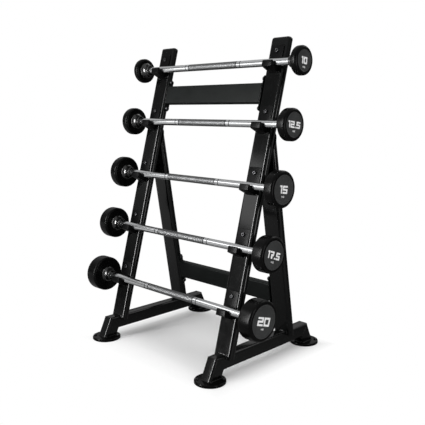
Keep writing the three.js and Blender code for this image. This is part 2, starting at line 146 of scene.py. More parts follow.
class RackSizes(bpy.types.PropertyGroup):
    """Sizes of the rack's side frames, feet, beams and saddles"""

    barbell_shift: length("Barbell Shift", "How far right of the rack's middle they lie", 0.016)
    side_spacing: length("Side Spacing", "Between the middles of the two side frames", 0.687)
    tube_width: length("Tube Width", "Width of the upright and leg tubes", 0.096)
    tube_depth: length("Tube Depth", "Depth of the upright and leg tubes", 0.032)
    tube_corner: length("Tube Corner", "Corner radius of the upright and leg tubes", 0.015)
    tube_wall: length("Tube Wall", "Wall thickness of all tubes", 0.003)
    tube_end_rise: length("Tube End Rise", "Height of the tubes' lower ends above the floor", 0.081)
    top_round: length("Top Round", "Radius of an upright's top edge", 0.010)
    upright_lean: turn("Upright Lean", "How far the uprights lean back", 14.95)
    upright_setback: length("Upright Setback", "From the rail's front end to the upright", 0.0518)
    above_top_bar: length("Above Top Bar", "From the top bar to the upright's top", 0.116)
    leg_lean: turn("Leg Lean", "How far the rear legs lean forward", 9.53)
    leg_setback: length("Leg Setback", "From the rail's rear end to the leg", 0.1164)
    rail_width: length("Rail Width", "Width of the base rails", 0.054)
    rail_height: length("Rail Height", "Height of the base rails", 0.057)
    rail_corner: length("Rail Corner", "Corner radius of the base rails", 0.010)
    rail_bottom: length("Rail Bottom", "Height of the rails' underside", 0.040)
    stub_tilt: turn("Stub Tilt", "How far a rail's down-turned end leans out", 25)
    stub_depth: length("Stub Depth", "Depth of a rail's down-turned end", 0.064)
    stub_inset: length("Stub Inset", "From the foot's middle in to that of the stub", 0.006)
    foot_spacing: length("Foot Spacing", "Between the front and the rear feet", 0.610)
    foot_diameter: length("Foot Diameter", "Diameter of the round feet", 0.128)
    foot_thickness: length("Foot Thickness", "Thickness of the round feet", 0.012)
    foot_edge: length("Foot Edge", "Radius of the feet's top edge", 0.004)
    foot_bolt_offset: length("Foot Bolt Offset", "From a foot's middle to a bolt", 0.0525)
    lowest_bar_rise: length("Lowest Bar Rise", "Along the upright, from the floor", 0.271)
    bar_pitch: length("Bar Pitch", "Along the upright, from bar to bar", 0.2508)
    cradle_play: length("Cradle Play", "How much wider than the bar a cradle's radius is", 0.001)
    saddle_width: length("Saddle Width", "Width of a saddle along the bar", 0.048)
    saddle_plate: length("Saddle Plate", "Thickness of a saddle's plate", 0.004)
    saddle_plate_width: length("Saddle Plate Width", "Width of a saddle's plate", 0.064)
    saddle_plate_corner: length("Saddle Plate Corner", "Corner radius of a saddle's plate", 0.006)
    saddle_plate_edge: length("Saddle Plate Edge", "Radius of a saddle plate's edges", 0.001)
    saddle_web: length("Saddle Web", "Between the cradle and the plate", 0.004)
    saddle_web_rise: length("Saddle Web Rise", "From the bar's middle up to the web's top", 0.016)
    saddle_lip: length("Saddle Lip", "Radius of the lip's round top", 0.005)
    saddle_lip_rise: length("Saddle Lip Rise", "From the bar's middle up to the lip's top", 0.003)
    saddle_toe: length("Saddle Toe", "Below the cradle, at the saddle's front", 0.008)
    saddle_heel: length("Saddle Heel", "Below the cradle, at the saddle's back", 0.018)
    saddle_edge: length("Saddle Edge", "Radius of a hook's edges", 0.0012)
    saddle_bolt_rise: length("Saddle Bolt Rise", "From the bar up to the saddle's bolt", 0.056)
    saddle_bolt_margin: length("Saddle Bolt Margin", "From the bolt up to the plate's top", 0.024)
    beam_height: length("Beam Height", "Height of the cross beams", 0.084)
    beam_depth: length("Beam Depth", "Depth of the cross beams", 0.030)
    beam_corner: length("Beam Corner", "Corner radius of the cross beams", 0.006)
    upper_beam_drop: length("Upper Beam Drop", "From the top bar down to the beam", 0.1145)
    lower_beam_rise: length("Lower Beam Rise", "Along the rear leg, from the floor", 0.268)
    flange_thickness: length("Flange Thickness", "Thickness of a beam's end flange", 0.004)
    flange_width: length("Flange Width", "Width of a beam's end flange", 0.030)
    flange_corner: length("Flange Corner", "Corner radius of a flange", 0.012)
    flange_edge: length("Flange Edge", "Radius of a flange's edges", 0.0008)
    beam_bolt_offset: length("Beam Bolt Offset", "From the beam's middle to a bolt", 0.062)
    beam_bolt_margin: length("Beam Bolt Margin", "From a bolt to the flange's end", 0.013)
    weld_radius: length("Weld Radius", "Radius of a weld bead", 0.0022)


class BarbellSizes(bpy.types.PropertyGroup):
    """Sizes shared by the five barbells"""

    bar_diameter: length("Bar Diameter", "Diameter of the bar", 0.030)
    bar_chamfer: length("Bar Chamfer", "Bevel at the bar's ends", 0.0015)
    bar_insert: length("Bar Insert", "How far the bar reaches into a head", 0.015)
    grip_length: length("Grip Length", "Length of the knurled grip", 0.286)
    groove_width: length("Groove Width", "Width of the ring grooves by the grip", 0.004)
    groove_depth: length("Groove Depth", "Depth of the ring grooves by the grip", 0.001)
    band_width: length("Band Width", "Between the two ring grooves", 0.017)
    knurl_pitch: length("Knurl Pitch", "Distance between the ridges of the knurling", 0.0016)
    knurl_angle: turn("Knurl Angle", "Between the ridges and the bar", 30)
    neck_clearance: length("Neck Clearance", "From a side frame to a head's neck", 0.034)
    neck_length: length("Neck Length", "Length of a head's neck", 0.033)
    neck_wall: length("Neck Wall", "How far a neck stands out round the bar", 0.010)
    neck_flare: length("Neck Flare", "How far a neck widens out at its head", 0.015)
    head_edge: length("Head Edge", "Radius of the heads' round edges", 0.010)
    rim_width: length("Rim Width", "From a head's round edge to its recess", 0.005)
    recess_depth: length("Recess Depth", "Depth of the heads' outer face", 0.002)
    number_height: length("Number Relief", "How far the numbers stand proud", 0.0005)
    unit_width: length("Unit Width", "Width of the unit below a number", 0.015)
    unit_height: length("Unit Height", "Height of the unit below a number", 0.006)
    unit_drop: length("Unit Drop", "From a number down to the unit's middle", 0.012)


class Finishes(bpy.types.PropertyGroup):
    """Colours and gloss of the rack's finishes"""

    frame_colour: colour("Frame Colour", "Powder coat of the tubes", (0.0016, 0.0018, 0.0018))
    beam_colour: colour("Beam Colour", "Powder coat of the cross beams", (0.0065, 0.0078, 0.0074))
    saddle_colour: colour("Saddle Colour", "Moulded plastic", (0.003, 0.003, 0.0032))
    # The heads' outer faces. Their sides and inner faces take a far darker copy of the same
    # urethane, as painted shade.
    head_colour: colour("Head Colour", "Cast urethane", (0.040, 0.041, 0.041))
    # Painted shade: a glossier, far darker copy of the urethane; the gloss is the finish, the
    # darkness is shade.
    side_shade_colour: colour("Side Colour", "The heads' edges and inner sides", (0.0018, 0.0018, 0.0018))
    neck_colour: colour("Neck Colour", "The heads' glossy necks", (0.004, 0.004, 0.004))
    foot_colour: colour("Foot Colour", "Glossy plastic", (0.0015, 0.0015, 0.0015))
    chrome_colour: colour("Chrome Colour", "Plated steel", (0.72, 0.73, 0.74))
    # Painted shade: the ring grooves are coloured far darker than the chrome round them.
    groove_shade_colour: colour("Groove Colour", "Dark ring grooves", (0.02, 0.02, 0.021))
    bolt_colour: colour("Bolt Colour", "Dark plated steel", (0.06, 0.06, 0.063))
    # Painted shade: the inside of each bolt's socket is coloured near black.
    socket_shade_colour: colour("Socket Colour", "Inside of the bolts' sockets", (0.006, 0.006, 0.006))
    number_colour: colour("Number Colour", "White filler of the numbers", (0.86, 0.86, 0.86))
    frame_roughness: share("Frame Roughness", "Gloss of the tubes' powder coat", 0.14)
    head_roughness: share("Head Roughness", "Gloss of the urethane", 0.45)
    knurl_roughness: share("Knurl Roughness", "Gloss of the knurled grip", 0.42)
    # Painted shade: the grip is coloured at this share of the chrome, for the shade in the
    # knurling's hollows.
    knurl_shade: share("Knurl Shade", "Brightness of the grip as a share of the chrome's", 0.23)


class Studio(bpy.types.PropertyGroup):
    """The lamps and the camera"""

    overhead: power("Overhead", "Power of the overhead box", 60)
    left_strip: power("Left Strip", "Power of the left strip", 40)
    front_box: power("Front Box", "Power of the front box", 3)
    left_glow: power("Left Glow", "Power of the left box that is only mirrored", 34)
    front_glow: power("Front Glow", "Power of the front box that is only mirrored", 100)
    back_box: power("Back Box", "Power of the back box", 10)
    right_strip: power("Right Strip", "Power of the right strip", 30)
    soft_light: share("Soft Light", "Strength of the light from all round", 0.35)
    camera_place: FloatVectorProperty(
        name="Camera Place", description="Where the camera stands", size=3, subtype="TRANSLATION",
        default=(1.9579, -1.9299, 1.0553),
    )
    camera_turn: turn("Camera Turn", "How far the camera is turned to the left", 44.86)
    camera_pitch: turn("Camera Pitch", "How far the camera looks down", 9.39)
    camera_lens: FloatProperty(
        name="Lens", description="Focal length in millimetres", default=52.68, unit="CAMERA"
    )
    film_width: FloatProperty(
        name="Film Width", description="Width of the camera's film", default=36, unit="CAMERA"
    )


def sizes():
    return bpy.context.scene.rack_sizes


def barbell_sizes():
    return bpy.context.scene.rack_barbell_sizes


def finishes():
    return bpy.context.scene.rack_finishes


def studio():
    return bpy.context.scene.rack_studio


# Places worked out from the sizes


def placed(point, angle, axis):
    """A place turned about one axis."""
    return Matrix.Translation(point) @ Matrix.Rotation(angle, 4, axis)


def across_rack(side=1):
    """Turns X, Y and Z into the rack's Y, Z and X, or for the left side into -Y, Z and -X."""
    return Matrix(((0, 0, side, 0), (side, 0, 0, 0), (0, 1, 0, 0), (0, 0, 0, 1)))


def rail_half_length():
    s = sizes()
    drop = s.rail_bottom + s.rail_height / 2 - s.foot_thickness
    return s.foot_spacing / 2 - s.stub_inset - drop * math.tan(s.stub_tilt)


def rail_middle():
    return sizes().rail_bottom + sizes().rail_height / 2


def rail_top():
    return sizes().rail_bottom + sizes().rail_height


def upright_frame():
    """Origin on the floor below the uprights, with Z along them."""
    s = sizes()
    y = s.upright_setback - rail_half_length() - rail_top() * math.tan(s.upright_lean)
    return placed((-s.barbell_shift, y, 0), -s.upright_lean, "X")


def leg_frame():
    """Origin on the floor below the rear legs, with Z along them."""
    s = sizes()
    y = rail_half_length() - s.leg_setback + rail_top() * math.tan(s.leg_lean)
    return placed((-s.barbell_shift, y, 0), s.leg_lean, "X")


def bar_rise(level):
    """How far up the upright a bar lies, with the levels counted from the top."""
    s = sizes()
    return s.lowest_bar_rise + s.bar_pitch * (len(BARBELLS) - 1 - level)


def cradle_radius():
    return barbell_sizes().bar_diameter / 2 + sizes().cradle_play


def bar_to_axis():
    """From a bar's middle to that of the upright."""
    s = sizes()
    return s.tube_depth / 2 + s.saddle_plate + s.saddle_web + cradle_radius()


def bar_centre(level):
    return upright_frame() @ Vector((sizes().barbell_shift, -bar_to_axis(), bar_rise(level)))


def side_x():
    return sizes().side_spacing / 2


def side_place(side):
    """Where a side frame's middle lies along X."""
    return side * side_x() - sizes().barbell_shift


def neck_start():
    """Distance from a barbell's middle to a head's neck."""
    return side_x() + sizes().tube_width / 2 + barbell_sizes().neck_clearance


# Shapes


def vertices_of(result):
    return [v for v in result["geom"] if isinstance(v, bmesh.types.BMVert)]


def heights(edge):
    """The heights of an edge's lower and upper end."""
    return sorted(v.co.z for v in edge.verts)


def rounded_prism(width, depth, corner, low, high, steps=10):
    """A bar along Z with a round-cornered section."""
    bm = bmesh.new()
    bmesh.ops.create_grid(bm, x_segments=1, y_segments=1, size=0.5)
    bmesh.ops.scale(bm, vec=(width, depth, 1), verts=bm.verts)
    bmesh.ops.bevel(
        bm, geom=bm.verts[:], offset=corner, segments=steps, profile=0.5,
        affect="VERTICES", material=-1, clamp_overlap=False,
    )
    bmesh.ops.translate(bm, vec=(0, 0, low), verts=bm.verts)
    top = bmesh.ops.extrude_face_region(bm, geom=bm.faces[:])
    bmesh.ops.translate(bm, vec=(0, 0, high - low), verts=vertices_of(top))
    bmesh.ops.recalc_face_normals(bm, faces=bm.faces)
    return bm


def open_ends(bm, both=True):
    """Takes off a prism's bottom face, and its top face too."""
    bm.normal_update()
    flat = 0.9
    ends = [f for f in bm.faces if f.normal.z < -flat or (both and f.normal.z > flat)]
    bmesh.ops.delete(bm, geom=ends, context="FACES_ONLY")


def tube_skin(width, depth, corner, low, high, steps=10):
    """A round-cornered tube along Z, open at both ends and still without a wall."""
    bm = rounded_prism(width, depth, corner, low, high, steps)
    open_ends(bm)
    return bm


def round_the_top(bm, radius, steps=6):
    """Rounds the edge round a prism's top face, which rises by the radius."""
    top = max(bm.faces, key=lambda f: f.calc_center_median().z)
    for i in range(steps):
        a, b = (QUARTER_TURN * k / steps for k in (i, i + 1))
        bmesh.ops.inset_region(
            bm, faces=[top], use_even_offset=True,
            thickness=radius * (math.cos(a) - math.cos(b)),
            depth=radius * (math.sin(b) - math.sin(a)),
        )


def softened(bm, radius):
    """Rounds the sharp edges of a solid."""
    bm.normal_update()
    sharp = [
        e for e in bm.edges if len(e.link_faces) == 2 and e.calc_face_angle(0) > SHARP_ANGLE
    ]
    bmesh.ops.bevel(
        bm, geom=sharp, offset=radius, segments=3, profile=0.5,
        affect="EDGES", material=-1, clamp_overlap=False,
    )


def cut_off(bm, point, normal, remove=True):
    """Cuts a shape at a plane and takes off what lies on the normal's side."""
    geom = bm.verts[:] + bm.edges[:] + bm.faces[:]
    bmesh.ops.bisect_plane(bm, geom=geom, plane_co=point, plane_no=normal, clear_outer=remove)


def score(bm, point, normal):
    """Adds the edges in which a plane meets the faces."""
    cut_off(bm, point, normal, remove=False)


def give_wall(bm, thickness):
    """Turns an open skin into a wall that grows inwards."""
    bmesh.ops.recalc_face_normals(bm, faces=bm.faces)
    bmesh.ops.solidify(bm, geom=bm.faces[:], thickness=thickness)


def lathed(profile, steps=64):
    """Points of radius and height, spun round Z and closed at the axis."""
    bm = bmesh.new()
    verts = [bm.verts.new((radius, 0, height)) for radius, height in profile]
    edges = [bm.edges.new(pair) for pair in zip(verts, verts[1:])]
    bmesh.ops.spin(
        bm, geom=verts + edges, cent=(0, 0, 0), axis=(0, 0, 1), dvec=(0, 0, 0),
        angle=2 * math.pi, steps=steps, use_merge=True,
    )
    bmesh.ops.remove_doubles(bm, verts=bm.verts, dist=TINY / 10)
    bmesh.ops.recalc_face_normals(bm, faces=bm.faces)
    return bm


def arc(x, y, radius, start, end, steps=6):
    """Points on an arc, with the angles in degrees."""
    angles = (math.radians(start + (end - start) * i / steps) for i in range(steps + 1))
    return [(x + radius * math.cos(a), y + radius * math.sin(a)) for a in angles]


def join_in(bm, other):
    """Moves another bmesh's geometry into this one."""
    mesh = bpy.data.meshes.new("joined")
    other.to_mesh(mesh)
    other.free()
    bm.from_mesh(mesh)
    bpy.data.meshes.remove(mesh)


def edge_runs(bm, wanted):
    """The open edges that pass a test, as runs of points in order."""
    edges = dict.fromkeys(e for e in bm.edges if e.is_boundary and wanted(e))
    runs = []
    while edges:
        ends = [v for e in edges for v in e.verts if sum(x in edges for x in v.link_edges) == 1]
        here = ends[0] if ends else next(iter(edges)).verts[0]
        run, closed = [here.co.copy()], not ends
        while True:
            step = next((e for e in here.link_edges if e in edges), None)
            if step is None:
                break
            del edges[step]
            here = step.other_vert(here)
            run.append(here.co.copy())
        runs.append((run[:-1] if closed else run, closed))
    return runs


def weld_bead(name, runs, radius):
    """A round bead of weld along each run of points."""
    curve = bpy.data.curves.new(name, "CURVE")
    curve.dimensions = "3D"
    curve.bevel_depth = radius
    curve.bevel_resolution = 3
    curve.use_fill_caps = True
    for run, closed in runs:
        spline = curve.splines.new("POLY")
        spline.points.add(len(run) - 1)
        for point, place in zip(spline.points, run):
            point.co = (*place, 1)
        spline.use_cyclic_u = closed
    bead = bpy.data.objects.new(name, curve)
    bpy.context.scene.collection.objects.link(bead)
    bpy.context.view_layer.update()
    drawn = bead.evaluated_get(bpy.context.evaluated_depsgraph_get())
    mesh = bpy.data.meshes.new_from_object(drawn)
    bpy.data.objects.remove(bead)
    bm = bmesh.new()
    bm.from_mesh(mesh)
    bpy.data.meshes.remove(mesh)
    put_piece(name, bm, powder_coat(), "rack", crease=60)


def put_piece(name, bm, material, body, nodes=(), crease=35):
    """Makes the shown piece, lets it ride on its body and stand for its CAD nodes."""
    bmesh.ops.recalc_face_normals(bm, faces=bm.faces)
    mesh = bpy.data.meshes.new(name)
    bm.to_mesh(mesh)
    bm.free()
    for each in material if isinstance(material, (list, tuple)) else [material]:
        mesh.materials.append(each)
    mesh.shade_smooth()
    mesh.set_sharp_from_angle(angle=math.radians(crease))
    piece = bpy.data.objects.new(name, mesh)
    bpy.context.scene.collection.objects.link(piece)
    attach(piece, body)
    if nodes:
        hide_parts(*nodes)
    return piece


# Finishes

# Between these two values lies most of a noise pattern
NOISE_RANGE = (0.3, 0.7)
# How far a coat's roughness varies, as a share of it
SMEAR_SHARE = 0.15
# Depth of a coat's grain in metres
GRAIN_DEPTH = 0.0001


def empty_tree(owner):
    """Gives a material or a world a node tree without nodes."""
    owner.use_nodes = True
    owner.node_tree.nodes.clear()
    return owner.node_tree


def add_node(tree, kind, inputs, **settings):
    """A new node, whose inputs are given a value or another node's output."""
    node = tree.nodes.new(kind)
    for name, value in settings.items():
        setattr(node, name, value)
    for socket, value in inputs.items():
        if isinstance(value, bpy.types.NodeSocket):
            tree.links.new(value, node.inputs[socket])
        else:
            node.inputs[socket].default_value = value
    return node


def maths(tree, operation, *values):
    """A number worked out from one or two others."""
    inputs = dict(enumerate(values))
    return add_node(tree, "ShaderNodeMath", inputs, operation=operation).outputs["Value"]


def vector_maths(tree, operation, *values):
    """A Vector Math node, for one or two vectors."""
    return add_node(tree, "ShaderNodeVectorMath", dict(enumerate(values)), operation=operation)


def coordinates(tree, kind):
    return add_node(tree, "ShaderNodeTexCoord", {}).outputs[kind]


def parts_of(tree, vector):
    """A vector's X, Y and Z."""
    return add_node(tree, "ShaderNodeSeparateXYZ", {"Vector": vector}).outputs


def noise(tree, place, scale, detail=2.0):
    """A noise pattern of so many bumps to the metre."""
    inputs = {"Scale": scale, "Detail": detail, "Vector": place}
    return add_node(tree, "ShaderNodeTexNoise", inputs).outputs["Fac"]


def mapped(tree, value, low, high, to_low=0.0, to_high=1.0):
    """Maps a value from one range onto another."""
    return add_node(tree, "ShaderNodeMapRange", {
        "Value": value, "From Min": low, "From Max": high, "To Min": to_low, "To Max": to_high,
    }).outputs["Result"]


def ramp(tree, value, *stops):
    """A colour ramp from pairs of place and colour, or of place and brightness."""
    node = add_node(tree, "ShaderNodeValToRGB", {"Fac": value})
    elements = node.color_ramp.elements
    while len(elements) < len(stops):
        elements.new(1.0)
    for element, (place, shade) in zip(elements, stops):
        element.position = place
        element.color = (*(shade if isinstance(shade, tuple) else (shade,) * 3), 1)
    return node.outputs["Color"]


def tinted(tree, pattern, base, swing):
    """A colour that a pattern makes a little darker and lighter."""
    shades = (tuple(c * (1 + way * swing) for c in base) for way in (-1, 1))
    return ramp(tree, pattern, *zip(NOISE_RANGE, shades))


def bumped(tree, height, distance, strength):
    """The surface as a pattern roughens it."""
    inputs = {"Height": height, "Distance": distance, "Strength": strength}
    return add_node(tree, "ShaderNodeBump", inputs).outputs["Normal"]


def finish(name, shader_inputs):
    """The finish of that name, made at its first use by a function that gives its inputs."""
    if name not in bpy.data.materials:
        tree = empty_tree(bpy.data.materials.new(name))
        inputs = shader_inputs(tree, coordinates(tree, "Object"))
        shader = add_node(tree, "ShaderNodeBsdfPrincipled", inputs)
        add_node(tree, "ShaderNodeOutputMaterial", {"Surface": shader.outputs["BSDF"]})
    return bpy.data.materials[name]


def coating(name, base, roughness, grain, strength, swing=0.15, metallic=0.0, shine=0.1):
    """A coat with a fine grain, faint clouds of colour and a gloss that varies a little."""
    def inputs(tree, place):
        clouds = noise(tree, place, scale=9.0, detail=4.0)
        smears = noise(tree, place, scale=26.0, detail=5.0)
        dull, bright = roughness * (1 + SMEAR_SHARE), roughness * (1 - SMEAR_SHARE)
        return {
            "Base Color": tinted(tree, clouds, base, swing),
            "Roughness": mapped(tree, smears, *NOISE_RANGE, bright, dull),
            "Metallic": metallic,
            "Specular IOR Level": shine,
            "Normal": bumped(tree, noise(tree, place, grain), GRAIN_DEPTH, strength),
        }
    return finish(name, inputs)


def powder_coat():
    f = finishes()
    return coating(
        "frame_powder_coat", f.frame_colour, f.frame_roughness, grain=900, strength=0.1, shine=0.3)


def beam_coat():
    return coating(
        "beam_powder_coat", finishes().beam_colour, roughness=0.42, grain=900, strength=0.15)


def saddle_plastic():
    return coating(
        "saddle_moulded_plastic", finishes().saddle_colour, roughness=0.3, grain=1600,
        strength=0.15, shine=0.08)


def urethane():
    f = finishes()
    return coating(
        "head_urethane_coat", f.head_colour, f.head_roughness, grain=1800, strength=0.25)


# The heads' sides and inner faces: the same urethane, glossier, and darkened as painted shade.
def painted_shade_side_coat():
    return coating(
        "head_side_painted_shade", finishes().side_shade_colour, roughness=0.24, grain=900, strength=0.1)


def neck_coat():
    return coating(
        "neck_glossy_coat", finishes().neck_colour, roughness=0.2, grain=900, strength=0.04,
        shine=1.0)


def foot_plastic():
    return coating(
        "foot_glossy_plastic", finishes().foot_colour, roughness=0.16, grain=700, strength=0.06)


def number_white():
    return coating(
        "number_filler", finishes().number_colour, roughness=0.5, grain=1500, strength=0.1,
        swing=0.03)


def bolt_steel():
    return coating(
        "bolt_dark_plating", finishes().bolt_colour, roughness=0.3, grain=1200, strength=0.1,
        metallic=1.0)


# Painted shade in the ring grooves: a near-black copy of the plated steel.
def groove_shade():
    return coating(
        "ring_groove_shade", finishes().groove_shade_colour, roughness=0.4, grain=1200, strength=0.1,
        metallic=1.0)


# Painted shade inside the bolts' sockets.
def socket_painted_shade():
    return coating(
        "bolt_socket_shade", finishes().socket_shade_colour, roughness=0.6, grain=1200, strength=0.1)


def chrome():
    """Polished plating with faint turning marks round the bar."""
    def inputs(tree, place):
        stretch = add_node(tree, "ShaderNodeMapping", {"Scale": (60, 1, 1), "Vector": place})
        marks = noise(tree, stretch.outputs["Vector"], scale=30.0, detail=3.0)
        return {
            "Base Color": tinted(tree, marks, finishes().chrome_colour, swing=0.02),
            "Roughness": mapped(tree, marks, *NOISE_RANGE, 0.12, 0.18),
            "Metallic": 1.0,
            "Normal": bumped(tree, marks, GRAIN_DEPTH / 5, strength=0.1),
        }
    return finish("bar_chrome", inputs)


def knurling():
    """Plated steel with two crossing sets of ridges, on the grip's own map."""
    f, b = finishes(), barbell_sizes()

    def ridges(tree, own_map, slope):
        reach = 2 * math.pi / b.knurl_pitch
        way = (reach * math.cos(b.knurl_angle), slope * reach * math.sin(b.knurl_angle), 0)
        along = vector_maths(tree, "DOT_PRODUCT", own_map, way)
        return maths(tree, "SINE", along.outputs["Value"])

    def inputs(tree, place):
        own_map = add_node(tree, "ShaderNodeUVMap", {}, uv_map="round_and_along").outputs["UV"]
        crossed = maths(tree, "MINIMUM", *(ridges(tree, own_map, slope) for slope in (1, -1)))
        # The chrome darkened here is painted shade of the knurling.
        base = tuple(c * f.knurl_shade for c in f.chrome_colour)
        return {
            "Base Color": tinted(tree, noise(tree, place, scale=40.0), base, swing=0.08),
            "Metallic": 1.0,
            "Roughness": f.knurl_roughness,
            "Normal": bumped(tree, crossed, GRAIN_DEPTH * 3, strength=0.25),
        }
    return finish("grip_knurling", inputs)


# Pieces


def end_at_the_floor(bm, side):
    """Cuts a leaning tube's lower end square and slots it over its rail."""
    s = sizes()
    x, half_slot, top = side_place(side), s.rail_width / 2 + GAP, rail_top() + GAP
    cut_off(bm, (0, 0, s.tube_end_rise), (0, 0, -1))
    for edge in (-half_slot, half_slot):
        score(bm, (x + edge, 0, 0), (1, 0, 0))
    score(bm, (0, 0, top), (0, 0, 1))
    in_slot = [
        f for f in bm.faces
        if abs(f.calc_center_median().x - x) < half_slot and f.calc_center_median().z < top
    ]
    bmesh.ops.delete(bm, geom=in_slot, context="FACES")


def put_leaning_tube(kind, side_name, skin):
    """Makes a leaning tube from its skin, and the welds along its edges."""
    s = sizes()
    end_at_the_floor(skin, SIDES[side_name])
    low = s.tube_end_rise
    runs = edge_runs(skin, lambda e: heights(e)[0] > low - TINY and heights(e)[1] > low + TINY)
    give_wall(skin, s.tube_wall)
    put_piece(f"{kind}_tube_{side_name}", skin, powder_coat(), "rack",
              nodes=[f"{kind}_{side_name}"])
    weld_bead(f"{kind}_weld_{side_name}", runs, s.weld_radius)


class RACK_OT_uprights(bpy.types.Operator):
    """Make the two leaning uprights with their closed, rounded tops"""

    bl_idname = "rack.uprights"
    bl_label = "Uprights"

    def execute(self, context):
        s = sizes()
        top = bar_rise(0) + s.above_top_bar
        for name, side in SIDES.items():
            bm = rounded_prism(
                s.tube_width, s.tube_depth, s.tube_corner, 0, top - s.top_round, steps=14)
            round_the_top(bm, s.top_round)
            open_ends(bm, both=False)
            bm.transform(upright_frame() @ Matrix.Translation((side * side_x(), 0, 0)))
            put_leaning_tube("upright", name, bm)
        return {"FINISHED"}


class RACK_OT_rear_legs(bpy.types.Operator):
    """Make the two rear legs and the welds that join them to the uprights"""

    bl_idname = "rack.rear_legs"
    bl_label = "Rear Legs"

    def execute(self, context):
        s = sizes()
        back = upright_frame() @ Vector((0, s.tube_depth / 2 + GAP, 0))
        forward = -(upright_frame().to_3x3() @ Vector((0, 1, 0)))
        for name, side in SIDES.items():
            bm = tube_skin(s.tube_width, s.tube_depth, s.tube_corner, 0, bar_rise(0), steps=14)
            bm.transform(leg_frame() @ Matrix.Translation((side * side_x(), 0, 0)))
            cut_off(bm, back, forward)
            put_leaning_tube("rear_leg", name, bm)
        return {"FINISHED"}


class RACK_OT_base_rails(bpy.types.Operator):
    """Make the base rails and their down-turned ends"""

    bl_idname = "rack.base_rails"
    bl_label = "Base Rails"

    def execute(self, context):
        s = sizes()
        reach, middle = rail_half_length() + SPARE, rail_middle()
        slope = (s.stub_depth / s.rail_height - math.sin(s.stub_tilt)) / math.cos(s.stub_tilt)
        for name, side in SIDES.items():
            rail = tube_skin(s.rail_width, s.rail_height, s.rail_corner, -reach, reach)
            rail.transform(placed((side_place(side), 0, middle), -QUARTER_TURN, "X"))
            for end_name, end in ENDS.items():
                mitre = Vector((side_place(side), end * rail_half_length(), middle))
                out = Vector((0, end, -slope)).normalized()
                cut_off(rail, mitre, out)
                self.add_stub(f"{end_name}_{name}", mitre, out, end)
            give_wall(rail, s.tube_wall)
            put_piece(f"base_rail_tube_{name}", rail, powder_coat(), "rack",
                      nodes=[f"base_rail_{name}"])
        return {"FINISHED"}

    def add_stub(self, corner, mitre, out, end):
        """Makes one down-turned end and its welds at the foot and at the mitre."""
        s = sizes()
        floor = s.foot_thickness + GAP
        stub = tube_skin(s.rail_width, s.stub_depth, s.rail_corner, -SPARE, 3 * SPARE)
        stub.transform(placed(mitre, end * (math.pi + s.stub_tilt), "X"))
        cut_off(stub, mitre + out * GAP, -out)
        cut_off(stub, (0, 0, floor), (0, 0, -1))
        foot_run = edge_runs(stub, lambda e: heights(e)[1] < floor + TINY)
        mitre_run = edge_runs(stub, lambda e: heights(e)[1] > floor + TINY)
        give_wall(stub, s.tube_wall)
        put_piece(f"foot_stub_tube_{corner}", stub, powder_coat(), "rack",
                  nodes=[f"foot_stub_{corner}"])
        weld_bead(f"foot_weld_{corner}", foot_run, s.weld_radius)
        weld_bead(f"mitre_weld_{corner}", mitre_run, s.weld_radius / 3)


def socket_bolt(head_diameter, head_height, shank, shank_diameter):
    """A button-head bolt along Z with a hexagonal socket, its head above zero."""
    radius, rim = head_diameter / 2, head_diameter * 0.24
    edge, socket_radius, socket_depth = head_height * 0.55, rim * 0.9, head_height * 0.5
    dish = 0.0004
    profile = [
        (0, -shank), (shank_diameter / 2, -shank), (shank_diameter / 2, 0), (radius, 0),
        *arc(radius - edge, head_height - edge, edge, 0, 90),
        (rim, head_height),
    ]
    bm = lathed(profile, steps=24)
    ring = [e for e in bm.edges if e.is_boundary]
    socket = bmesh.ops.create_circle(
        bm, segments=6, radius=socket_radius, cap_ends=False)["verts"]
    bmesh.ops.translate(bm, vec=(0, 0, head_height - dish), verts=socket)
    hexagon = list(dict.fromkeys(e for v in socket for e in v.link_edges))
    bmesh.ops.bridge_loops(bm, edges=ring + hexagon)
    deep = bmesh.ops.extrude_edge_only(bm, edges=hexagon)
    bmesh.ops.translate(bm, vec=(0, 0, -socket_depth), verts=vertices_of(deep))
    bottom = [e for e in deep["geom"] if isinstance(e, bmesh.types.BMEdge) and e.is_boundary]
    bmesh.ops.contextual_create(bm, geom=bottom)
    bmesh.ops.recalc_face_normals(bm, faces=bm.faces)
    # Faces inside the socket take the second finish, which is painted shade.
    for face in bm.faces:
        middle = face.calc_center_median()
        if math.hypot(*middle.xy) < socket_radius and middle.z > 0:
            face.material_index = 1
    return bm


def put_bolt(name, bolt, place, nodes=()):
    """Makes one of the rack's bolts, with its head along the place's Z."""
    bm = socket_bolt(*bolt)
    bm.transform(place)
    put_piece(name, bm, [bolt_steel(), socket_painted_shade()], "rack", nodes=nodes)


class RACK_OT_feet(bpy.types.Operator):
    """Make the four round feet and the bolts that hold them"""

    bl_idname = "rack.feet"
    bl_label = "Feet"

    def execute(self, context):
        s = sizes()
        radius, edge = s.foot_diameter / 2, s.foot_edge
        profile = [
            (0, 0), (radius - edge / 4, 0), (radius, edge / 4),
            *arc(radius - edge, s.foot_thickness - edge, edge, 0, 90, steps=8),
            (0, s.foot_thickness),
        ]
        for name, side in SIDES.items():
            for end_name, end in ENDS.items():
                corner = f"{end_name}_{name}"
                place = Matrix.Translation((side_place(side), end * s.foot_spacing / 2, 0))
                disc = lathed(profile, steps=96)
                disc.transform(place)
                put_piece(f"foot_disc_{corner}", disc, foot_plastic(), "rack",
                          nodes=[f"foot_{corner}"])
                for bolt_name, way in (("inner", -1), ("outer", 1)):
                    across = way * s.foot_bolt_offset * math.sqrt(0.5)
                    spot = Matrix.Translation((across, across, s.foot_thickness))
                    put_bolt(f"foot_bolt_{corner}_{bolt_name}", FOOT_BOLT, place @ spot)
        return {"FINISHED"}


